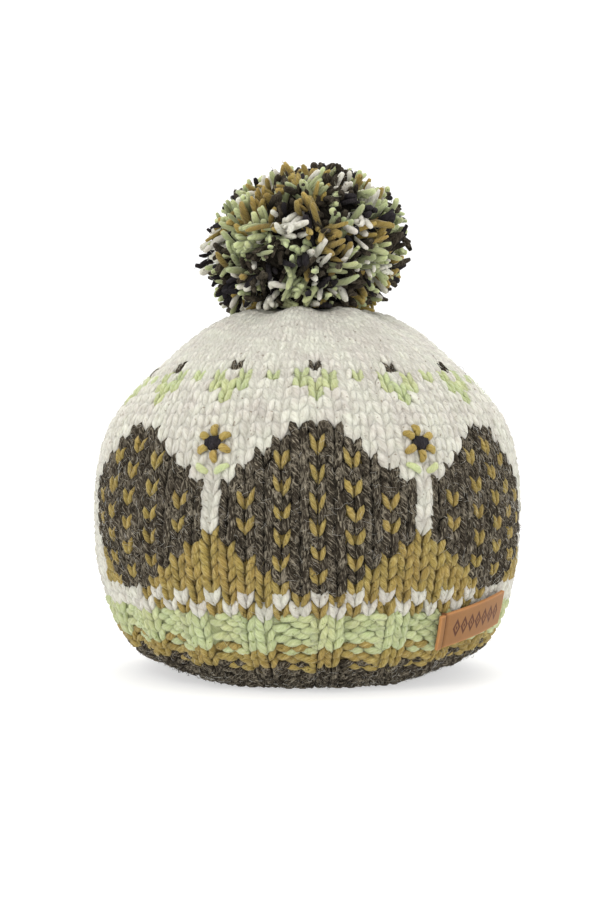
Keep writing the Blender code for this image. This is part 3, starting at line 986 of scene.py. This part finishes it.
def knit_body(stitches):
    """All the stitches, as one piece for each yarn; the cream is three, low, middle and high."""
    chance = np.random.default_rng(11)
    knit = pick(stitches, ~stitches.purl)
    purl = pick(stitches, stitches.purl)
    parts = [(*knit_legs(knit, hand, chance), knit.yarn) for hand in (-1.0, 1.0)]
    parts.append((*purl_bars(purl, False, chance), purl.lower_yarn))
    parts.append((*purl_bars(purl, True, chance), purl.upper_yarn))
    parts += [selvedge_wraps(), hem_wraps()]
    paths, ups, wide, deep, yarns = joined(parts)
    height = paths[:, 2, 2]
    pieces = [(f"cream_stitches_{name}", CREAM, (height >= low) & (height < high))
              for name, low, high in CREAM_PIECES]
    pieces += [(f"{YARN_NAMES[yarn]}_stitches", yarn, True) for yarn in (CHARCOAL, MUSTARD, GREEN)]
    for name, yarn, within in pieces:
        mask = (yarns == yarn) & within
        mesh = yarn_mesh(name, STITCH_YARN, paths[mask], ups[mask], wide[mask], deep[mask], chance,
                         STITCH_SHADES ** SHADE_POWERS[yarn], DARKEST_TONES[yarn])
        place_piece(name, mesh, KNIT_WOOL[yarn])


# ================================================================== backing sheet
def inner_relief(angle, along):
    """Purl bumps on the cloth's inner face: two bars a row, broken between the wales."""
    bars = np.abs(np.sin(math.pi * along / INNER_ROW))
    wales = INNER_WALES + (1.0 - INNER_WALES) * np.abs(np.sin(angle * STITCHES_ROUND / 2.0))
    return INNER_BUMP * (bars * wales - 0.4)


def build_backing():
    """The wall behind the stitches as one closed sheet, purl side in, open at the slots."""
    alongs = np.concatenate((np.linspace(-HEM_FLAT, 0.0, 2, endpoint=False),
                             np.linspace(0.0, CLOTH_LENGTH, BACKING_BANDS + 1)))
    columns = 2 * STITCHES_ROUND
    half = columns // 2
    # Each row of points has two spare ones: the right-hand sides of the open slots, the
    # handle's at the last column and the spout's half way round.
    spout_open, handle_open = (slot_opened(slot, alongs) > 1e-6 for slot in SLOTS)
    left = np.tile(np.arange(columns), (len(alongs), 1))
    right = (left + 1) % columns
    right[handle_open, -1] = columns
    right[spout_open, half - 1] = columns + 1
    ids = np.stack((left, right)) + (columns + 2) * np.arange(len(alongs))[:, None]
    quads = np.stack((*ids[:, :-1], *ids[::-1, 1:]), axis=-1)
    used, faces = np.unique(quads, return_inverse=True)
    row_of, column_of = np.divmod(used, columns + 2)
    spare = column_of >= columns
    column_of = np.where(column_of == columns + 1, half, column_of)
    along = alongs[row_of]
    angle = 2.0 * math.pi * column_of / columns
    sides = sides_of(angle + np.where(spare, -1e-4, 1e-4))
    felted = FELTED_RISE * smooth_step(FELTED_FROM, FELTED_TO, along)
    outer = on_cloth(angle, along, BACKING_LIFTS[yarn_at(angle, along)] + felted, sides)
    inner = on_cloth(angle, along, -WALL + INNER_LIFT + inner_relief(angle, along), sides)
    # One point closes the crown on each face of the wall.
    count = len(outer) + 1
    fan = [(int(a), int(b), len(outer)) for a, b in np.searchsorted(used, ids[:, -1]).T]
    outer = np.vstack((outer, (0.0, 0.0, CROWN_HEIGHT + BACKING_LIFTS[CREAM])))
    inner = np.vstack((inner, (0.0, 0.0, CROWN_HEIGHT - WALL)))
    mesh = bpy.data.meshes.new("cloth_backing")
    mesh.from_pydata(outer.tolist(), [], faces.reshape(-1, 4).tolist() + fan)
    item = linked("cloth_backing", mesh)
    apply_modifier(item, "SOLIDIFY", thickness=0.5 * WALL, offset=-1.0)
    places = vertex_places(mesh)
    places[count:2 * count] = inner
    places[:, 2] = np.maximum(places[:, 2], FLOOR_GAP)
    move_vertices(mesh, places)
    paint_backing(mesh, np.append(along, CLOTH_LENGTH), np.append(angle, 0.0))
    mesh.shade_smooth()
    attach(item, "root")
    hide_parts("knitted_cosy")
    return item


def paint_backing(mesh, along, angle):
    """A yarn for each face, from the chart, the yarn map that its fibres follow, and painted
    shade for where it shows in the gaps between the stitches.
    """
    for material in KNIT_WOOL[:NAVY]:
        mesh.materials.append(material)
    corner = corner_vertices(mesh) % len(along)
    yarns = []
    for face in mesh.polygons:
        corners = corner[face.loop_start:face.loop_start + face.loop_total]
        middle = np.unwrap(angle[corners]).mean() % (2.0 * math.pi)
        yarns.append(yarn_at(middle, along[corners].mean()))
    mesh.polygons.foreach_set("material_index", np.array(yarns, np.int32))
    set_map(mesh.uv_layers.new(name="yarn"), np.stack((angle * 8.0, along * 90.0), axis=-1)[corner])
    # Painted shade: the backing is darker where it shows in the gaps between the stitches.
    add_values(mesh, "tone", np.resize(BACKING_SHADES[yarn_at(angle, along)], len(mesh.vertices)))


# ================================================================== loose fibres
def cloth_hairs(stitches):
    """Fine hairs that stand and lie over the knitting, most of them in the wool below them."""
    chance = np.random.default_rng(23)
    share = np.linspace(0.0, 1.0, len(HAIR_WIDTHS))
    parts = []
    for yarn, count, hair_yarn, half, height in CLOTH_HAIRS:
        found = np.flatnonzero((stitches.yarn == yarn) & (stitches.along > 0.0)
                               & (stitches.along < CLOTH_LENGTH - 0.02))
        of_yarn = pick(stitches, chance.choice(found, count))
        start = chance.uniform(-0.5, 0.5, (count, 2))
        heading = chance.uniform(0.0, 2.0 * math.pi, (count, 1))
        heading = heading + chance.normal(0.0, HAIR_TURN, (count, 1)) * share
        length = chance.uniform(*HAIR_LENGTHS, (count, 1))
        across = start[:, :1] + np.cumsum(np.cos(heading), axis=1) * length * HAIR_ACROSS
        up = start[:, 1:] + np.cumsum(np.sin(heading), axis=1) * length * HAIR_UP
        risen = chance.uniform(*HAIR_RISES, (count, 1)) * height
        free = chance.random((count, 1)) < FREE_HAIRS
        lift = HAIR_LIFT + risen * np.where(free, share ** 1.4, np.sin(math.pi * share))
        paths, ups = stitch_paths(of_yarn, across, up, lift)
        wide = half * chance.uniform(*HAIR_THICKNESS, (count, 1)) * HAIR_WIDTHS
        parts.append((paths, ups, wide, np.full(count, hair_yarn)))
    paths, ups, wide, yarns = joined(parts)
    for yarn in (CREAM, CHARCOAL, MUSTARD, GREEN):
        name = f"{YARN_NAMES[yarn]}_hairs"
        mask = yarns == yarn
        mesh = yarn_mesh(name, HAIR, paths[mask], ups[mask], wide[mask], wide[mask], chance)
        place_piece(name, mesh, KNIT_WOOL[yarn])


# ================================================================== pompom
def clear_of_crown(points, gap):
    """The points, moved up where they are less than a gap above the crown."""
    upper = LINE[int(np.argmax(LINE[:, 0])):][::-1]
    crown = np.interp(np.hypot(points[..., 0], points[..., 1]), upper[:, 0], upper[:, 1])
    points[..., 2] = np.maximum(points[..., 2], crown + gap)
    return points


def leaning(points):
    """The points of the pompom, moved sideways by its lean."""
    points[..., 0] += POMPOM_LEAN * (points[..., 2] - POMPOM_CENTRE[2])
    return points


def spread_directions(count, chance, uneven):
    """Directions spread evenly over a sphere by the golden angle, then shaken."""
    index = np.arange(count)
    height = 1.0 - 2.0 * (index + 0.5) / count
    around = index * math.pi * (3.0 - math.sqrt(5.0))
    flat = np.sqrt(1.0 - height * height)
    even = np.stack((flat * np.cos(around), flat * np.sin(around), height), axis=-1)
    return unit(even + chance.normal(0.0, uneven, even.shape))


def pompom_ends():
    """Paths of the cut yarn ends, their widths and their yarns."""
    chance = np.random.default_rng(5)
    tips = spread_directions(YARN_ENDS, chance, END_SPREAD)
    clumps = spread_directions(CLUMPS, chance, CLUMP_SPREAD)
    clump_yarn = chance.choice(5, CLUMPS, p=CLUMP_YARNS)
    clump_lean = chance.normal(0.0, CLUMP_LEAN, clumps.shape)
    nearest = np.argmax(tips @ clumps.T, axis=1)
    own = chance.random(YARN_ENDS) < OWN_SHARE
    yarns = np.where(own, chance.choice(5, YARN_ENDS, p=OWN_YARNS), clump_yarn[nearest])
    roots = unit(tips - clump_lean[nearest] - chance.normal(0.0, END_LEAN, tips.shape))
    reach = 1.0 / np.linalg.norm(tips / POMPOM_SIZE, axis=1)
    trimmed = 1.0 - END_TRIM * chance.random(YARN_ENDS) ** TRIM_POWER
    trimmed = trimmed + LONG_ENDS * (chance.random(YARN_ENDS) < LONG_SHARE)
    tip_places = tips * (reach * trimmed - END_HALF_WIDTH)[:, None]
    root_places = roots * (END_ROOT * reach)[:, None]
    share = END_SHARES[None, :, None]
    bend = unit(chance.normal(0.0, 1.0, tips.shape)) * chance.uniform(0.0, END_BEND, (YARN_ENDS, 1))
    paths = root_places[:, None] * (1.0 - share) + tip_places[:, None] * share
    paths = paths + bend[:, None] * np.sin(math.pi * share * 0.9) + POMPOM_CENTRE
    paths = clear_of_crown(leaning(paths), END_CLEARANCE)
    wide = END_HALF_WIDTH * chance.uniform(*END_THICKNESS, (YARN_ENDS, 1)) * END_WIDTHS
    deep = wide * chance.uniform(*END_FLATNESS, (YARN_ENDS, 1))
    ups = np.broadcast_to(unit(chance.normal(0.0, 1.0, tips.shape))[:, None], paths.shape)
    return paths, ups, wide, deep, yarns


def end_hairs(paths, yarns):
    """Frayed fibres at the yarn ends, short and curled."""
    chance = np.random.default_rng(31)
    chosen = chance.integers(0, len(paths), FRAYED_HAIRS)
    tip, before = paths[chosen, -1], paths[chosen, -3]
    heading = unit(unit(tip - before) + chance.normal(0.0, FRAY_SPREAD, tip.shape))
    start = before + (tip - before) * chance.uniform(0.2, 1.0, (FRAYED_HAIRS, 1))
    start = start + unit(chance.normal(0.0, 1.0, tip.shape)) * FRAY_ASIDE
    length = chance.uniform(*FRAY_LENGTHS, (FRAYED_HAIRS, 1, 1))
    share = np.linspace(0.0, 1.0, len(FRAY_WIDTHS))[None, :, None]
    curl = chance.normal(0.0, FRAY_CURL, (FRAYED_HAIRS, 1, 3)) * share ** 2
    hairs = start[:, None] + heading[:, None] * length * share + curl
    hairs = clear_of_crown(hairs, FRAY_CLEARANCE)
    wide = np.broadcast_to(FRAY_HALF_WIDTH * FRAY_WIDTHS, hairs.shape[:2])
    ups = np.broadcast_to(unit(chance.normal(0.0, 1.0, tip.shape))[:, None], hairs.shape)
    return hairs, ups, wide, wide, yarns[chosen]


def build_pompom():
    """The cut ends and their frayed fibres, as two pieces for each yarn."""
    chance = np.random.default_rng(17)
    ends = pompom_ends()
    frays = end_hairs(ends[0], ends[-1])
    for yarn, yarn_name in enumerate(YARN_NAMES):
        # Painted shade on the ends, darkest at their roots.
        shades = CUT_SHADES ** CUT_SHADE_POWERS[yarn]
        for kind, blank, lot, looks in (
                ("ends", CUT_YARN, ends, (shades, DARKEST_ENDS[yarn], 0.36, END_PLY)),
                ("frays", HAIR, frays, ())):
            name = f"pompom_{yarn_name}_{kind}"
            mask = lot[-1] == yarn
            mesh = yarn_mesh(name, blank, *(field[mask] for field in lot[:-1]), chance, *looks)
            place_piece(name, mesh, CUT_WOOL[yarn])


def build_pompom_core():
    """The dense middle where the yarn is tied, lumpy, leaning, and flat on the crown."""
    item, mesh = add_primitive(bpy.ops.mesh.primitive_ico_sphere_add, "pompom_core",
                               subdivisions=4, radius=1.0)
    places = vertex_places(mesh)
    x, y, z = places.T
    lumps = 1.0 + 0.05 * np.sin(9.0 * x + 4.0 * y) * np.sin(8.0 * z + 2.0)
    places = places * lumps[:, None] * POMPOM_SIZE * CORE_SHARE + POMPOM_CENTRE
    move_vertices(mesh, clear_of_crown(leaning(places), CORE_CLEARANCE))
    uv_layer = mesh.uv_layers[0]
    uv_layer.name = "yarn"
    set_map(uv_layer, np.array([corner.uv for corner in uv_layer.data]) * 12.0)
    # Painted shade: the core, of charcoal wool, takes the darkest of the ends' shades, as it lies
    # deep inside the pompom.
    add_values(mesh, "tone", np.full(len(mesh.vertices), CUT_SHADES[0]))
    mesh.materials.append(CUT_WOOL[CHARCOAL])
    mesh.shade_smooth()
    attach(item, "root")
    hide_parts("pompom")


# ================================================================== embroidery
def sewn_thread(angle, along, across, up, crest):
    """A thread laid on the cloth from its own small plan, with both ends sewn down."""
    radius = float(profile_at(np.array(along))[0])
    lift = crest - THREAD_DIP * np.abs(SHARES * 2.0 - 1.0) ** 3.0
    return np.broadcast_arrays(angle + across / radius, along + up, lift)


def embroider():
    """Flowers between the lozenges: a satin-stitched navy dot, mustard petals, green leaves."""
    chance = np.random.default_rng(41)
    flower_along = along_of_row(FLOWER_ROW)
    dots, petals, leaves = [], [], []
    for column in [panel * PANEL + place for panel in (0, 1) for place in FLOWER_PLACES]:
        angle = 2.0 * math.pi * (column + 0.5) / STITCHES_ROUND
        for thread in range(DOT_THREADS):
            place = (thread + 0.5) / DOT_THREADS * 2.0 - 1.0
            reach = DOT_RADIUS * math.sqrt(1.0 - (DOT_ROUND * place) ** 2)
            up = (SHARES * 2.0 - 1.0) * reach + DOT_UNEVEN * chance.normal()
            crest = DOT_CREST + DOT_DOME * math.sqrt(1.0 - place * place)
            dots.append(sewn_thread(angle, flower_along, place * DOT_RADIUS, up, crest))
        inner = PETAL_START * DOT_RADIUS
        for petal in range(PETALS):
            heading = 2.0 * math.pi * (petal + 0.5) / PETALS + PETAL_UNEVEN * chance.normal()
            reach = inner + (FLOWER_RADIUS - inner) * SHARES
            petals.append(sewn_thread(angle, flower_along, reach * math.cos(heading),
                                      reach * math.sin(heading), PETAL_CREST))
        for hand in (-1.0, 1.0):
            across = hand * (LEAF_START + LEAF_REACH * SHARES)
            up = LEAF_DROP + LEAF_RISE * SHARES ** 1.4
            leaves.append(sewn_thread(angle, flower_along, across, up, LEAF_CREST))
    for name, threads, yarn, half in (("navy_dots", dots, NAVY, DOT_THREAD),
                                      ("mustard_petals", petals, MUSTARD, PETAL_THREAD),
                                      ("green_leaves", leaves, GREEN, LEAF_THREAD)):
        around, along, lift = np.array(threads).swapaxes(0, 1)
        paths, ups = over_cloth(around, along, lift, sides_of(around))
        wide = np.broadcast_to(half * BAR_WIDTHS, along.shape)
        mesh = yarn_mesh(name, ROUND_YARN, paths, ups, wide, wide * THREAD_FLATNESS, chance)
        place_piece(name, mesh, CUT_WOOL[yarn])


# ================================================================== label
def label_points(across, up, lift):
    """Points of the label; across and up run from -0.5 to 0.5 over its cut size."""
    sideways = across * LABEL_LENGTH
    upward = up * LABEL_HEIGHT
    along = LABEL_ARC + upward * math.cos(LABEL_TILT) + sideways * math.sin(LABEL_TILT)
    round_wall = sideways * math.cos(LABEL_TILT) - upward * math.sin(LABEL_TILT)
    radius, height, out_r, out_z = profile_at(along)
    angle = LABEL_ANGLE + round_wall / radius
    crest = RIB_DEPTH + LABEL_GAP + lift
    reach = radius + out_r * crest
    return np.stack((reach * np.cos(angle), reach * np.sin(angle), height + out_z * crest), axis=-1)


def leather_material():
    """Tanned leather: fine grain, cloudy tan, pale edges that are partly paler cut leather and
    partly a painted highlight, a painted shadow in the crease, and dark tooling.
    """
    material, tree, shader = new_material("tooled_leather")
    place = add_node(tree, "ShaderNodeTexCoord").outputs["Object"]
    grain = add_node(tree, "ShaderNodeTexVoronoi", {}, Vector=place, Scale=2600.0)
    clouds = noise_node(tree, place, 160.0, 4.0, 0.6)
    pores = noise_node(tree, place, 1500.0, 3.0)
    ornament = label_ornament(tree)
    # The tooling and the painted shadow in the crease share one dark colour.
    tooling_and_crease_shadow = math_node(tree, "MAXIMUM", read_values(tree, "creased"), ornament)
    colour = mix_colours(tree, clouds, (0.235, 0.106, 0.034, 1.0), (0.345, 0.174, 0.058, 1.0))
    # Pores, a pale band along the edges that is partly a painted highlight, and the dark marks.
    for mask, strength, other in ((pores, 0.30, (0.24, 0.095, 0.036, 1.0)),
                                  (read_values(tree, "cut_edge"), 0.75, (0.56, 0.26, 0.10, 1.0)),
                                  (tooling_and_crease_shadow, 0.95, (0.085, 0.022, 0.007, 1.0))):
        colour = mix_colours(tree, product(tree, mask, strength), colour, other)
    height = product(tree, grain.outputs["Distance"], 0.35)
    height = total(tree, height, product(tree, pores, 0.3))
    height = math_node(tree, "SUBTRACT", height, product(tree, ornament, 0.9))
    bump = add_node(tree, "ShaderNodeBump", {}, Strength=0.7, Distance=0.00025, Height=height)
    fill_inputs(tree, shader, {
        "Base Color": colour, "Normal": bump.outputs["Normal"], "Specular IOR Level": 0.3,
        "Roughness": ramp(tree, clouds, 0.0, 1.0, _3=0.50, _4=0.66)})
    return material


def label_ornament(tree):
    """A tooled row of small lozenges, each with a dot in it, from the label's own map."""
    across, up = split_map(tree, "label")
    from_side = distance(tree, math_node(tree, "FRACT", product(tree, across, 9.0)), 0.5)
    spread = total(tree, from_side, product(tree, distance(tree, up, 0.5), 1.7))
    lozenges = ramp(tree, distance(tree, spread, 0.36), 0.15, 0.08)
    dots = ramp(tree, spread, 0.15, 0.10)
    within = ramp(tree, distance(tree, across, 0.5), 0.391, 0.387)
    return product(tree, math_node(tree, "MAXIMUM", lozenges, dots), within)


def cut_lines(length, fine):
    """Places along one side of the label: close beside its ends, even between."""
    edge = np.array((0.0, 0.35, 0.8, 1.25, 1.6, 1.95)) * LABEL_NEAR
    middle = np.linspace(edge[-1], length - edge[-1], fine + 2)[1:-1]
    return np.concatenate((edge, middle, (length - edge)[::-1])) / length - 0.5


def build_label():
    """Bent leather strip with a turned left end and rounded edges, with a pale band painted
    along them that is partly a painted highlight.
    """
    turned = TURNED_END / LABEL_LENGTH - 0.5
    beside_turn = turned + np.array(TURN_CUTS)
    across = np.sort(np.append(cut_lines(LABEL_LENGTH, LABEL_CUTS[0]), beside_turn))
    up = cut_lines(LABEL_HEIGHT, LABEL_CUTS[1])
    item, mesh = add_primitive(bpy.ops.mesh.primitive_grid_add, "label", size=1.0,
                               x_subdivisions=len(across) - 1, y_subdivisions=len(up) - 1)
    places = vertex_places(mesh)
    wide = across[np.rint((places[:, 0] + 0.5) * (len(across) - 1)).astype(int)]
    tall = up[np.rint((places[:, 1] + 0.5) * (len(up) - 1)).astype(int)]
    folded = smooth_step(turned + TURN_FLAT, turned + TURN_RISEN, wide)
    crease = np.exp(-((wide - turned) / CREASE_WIDTH) ** 2)
    lift = LABEL_THICK + TURNED_RISE * folded - CREASE_DEPTH * crease
    move_vertices(mesh, label_points(wide, tall, lift))
    uv_layer = mesh.uv_layers[0]
    uv_layer.name = "label"
    on_label = np.stack(((wide - turned) / (0.5 - turned), tall + 0.5), axis=-1)
    set_map(uv_layer, on_label[corner_vertices(mesh)])
    from_side = np.minimum((0.5 - np.abs(tall)) * LABEL_HEIGHT, (0.5 - np.abs(wide)) * LABEL_LENGTH)
    # Painted shadow along the crease.
    add_values(mesh, "creased", CREASE_SHADOW_STRENGTH * crease)
    # Pale band along the edges: paler cut leather and a painted highlight.
    add_values(mesh, "cut_edge", np.exp(-from_side / PALE_EDGE_WIDTH))
    apply_modifier(item, "SOLIDIFY", thickness=LABEL_THICK, offset=-1.0, use_even_offset=True)
    apply_modifier(item, "BEVEL", width=EDGE_ROUND, segments=2, limit_method="ANGLE",
                   angle_limit=math.radians(60))
    mesh.materials.append(leather_material())
    bpy.ops.object.shade_smooth_by_angle(angle=math.radians(50))
    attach(item, "root")
    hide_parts("leather_label")


# ================================================================== studio
def build_studio():
    """Pale floor that sweeps up behind, a pale world and soft lights."""
    floor, mesh = add_primitive(bpy.ops.mesh.primitive_plane_add, "studio_floor", size=FLOOR_SIZE)
    behind = 0.48 * FLOOR_SIZE
    edit_edges(mesh, lambda one, other: min(one.y, other.y) > behind)
    bpy.ops.mesh.extrude_region_move(TRANSFORM_OT_translate={"value": (0.0, 0.0, WALL_RISE)})
    edit_edges(mesh, lambda one, other: min(one.y, other.y) > behind and max(one.z, other.z) < 0.1)
    bpy.ops.mesh.bevel(offset=SWEEP, segments=16)
    bpy.ops.object.mode_set(mode="OBJECT")
    mesh.shade_smooth()
    material, tree, shader = new_material("pale_floor")
    fill_inputs(tree, shader, {"Base Color": (0.52, 0.52, 0.52, 1.0), "Roughness": 0.75,
                               "Emission Color": (1.0, 1.0, 1.0, 1.0), "Emission Strength": 0.55})
    mesh.materials.append(material)
    world = bpy.data.worlds.new("studio")
    world.use_nodes = True
    fill_inputs(world.node_tree, world.node_tree.nodes["Background"],
                {"Color": (1.0, 0.995, 0.985, 1.0), "Strength": 1.05})
    bpy.context.scene.world = world
    for name, place, size, power, colour in LIGHTS:
        light = bpy.data.lights.new(name, "AREA")
        light.size = size
        light.energy = power
        light.color = colour
        lamp = linked(name, light)
        lamp.location = place
        towards = np.array(LIGHTS_AIM) - np.array(place)
        turn = math.atan2(towards[1], towards[0])
        drop = math.atan2(math.hypot(towards[0], towards[1]), -towards[2])
        lamp.rotation_euler = (drop, 0.0, turn - math.pi / 2.0)


def place_camera():
    camera = bpy.data.cameras.new("front_view")
    camera.lens = CAMERA_LENS
    camera.clip_start = 0.01
    holder = linked("front_view", camera)
    holder.location = CAMERA_PLACE
    holder.rotation_euler = (math.pi / 2.0, 0.0, 0.0)
    bpy.context.scene.camera = holder
    bpy.context.scene.view_settings.view_transform = "Standard"


# ================================================================== the scene
place_camera()
build_studio()
backing = build_backing()
STITCHES = stitches_of_body()
knit_body(STITCHES)
cloth_hairs(STITCHES)
build_pompom_core()
build_pompom()
embroider()
build_label()
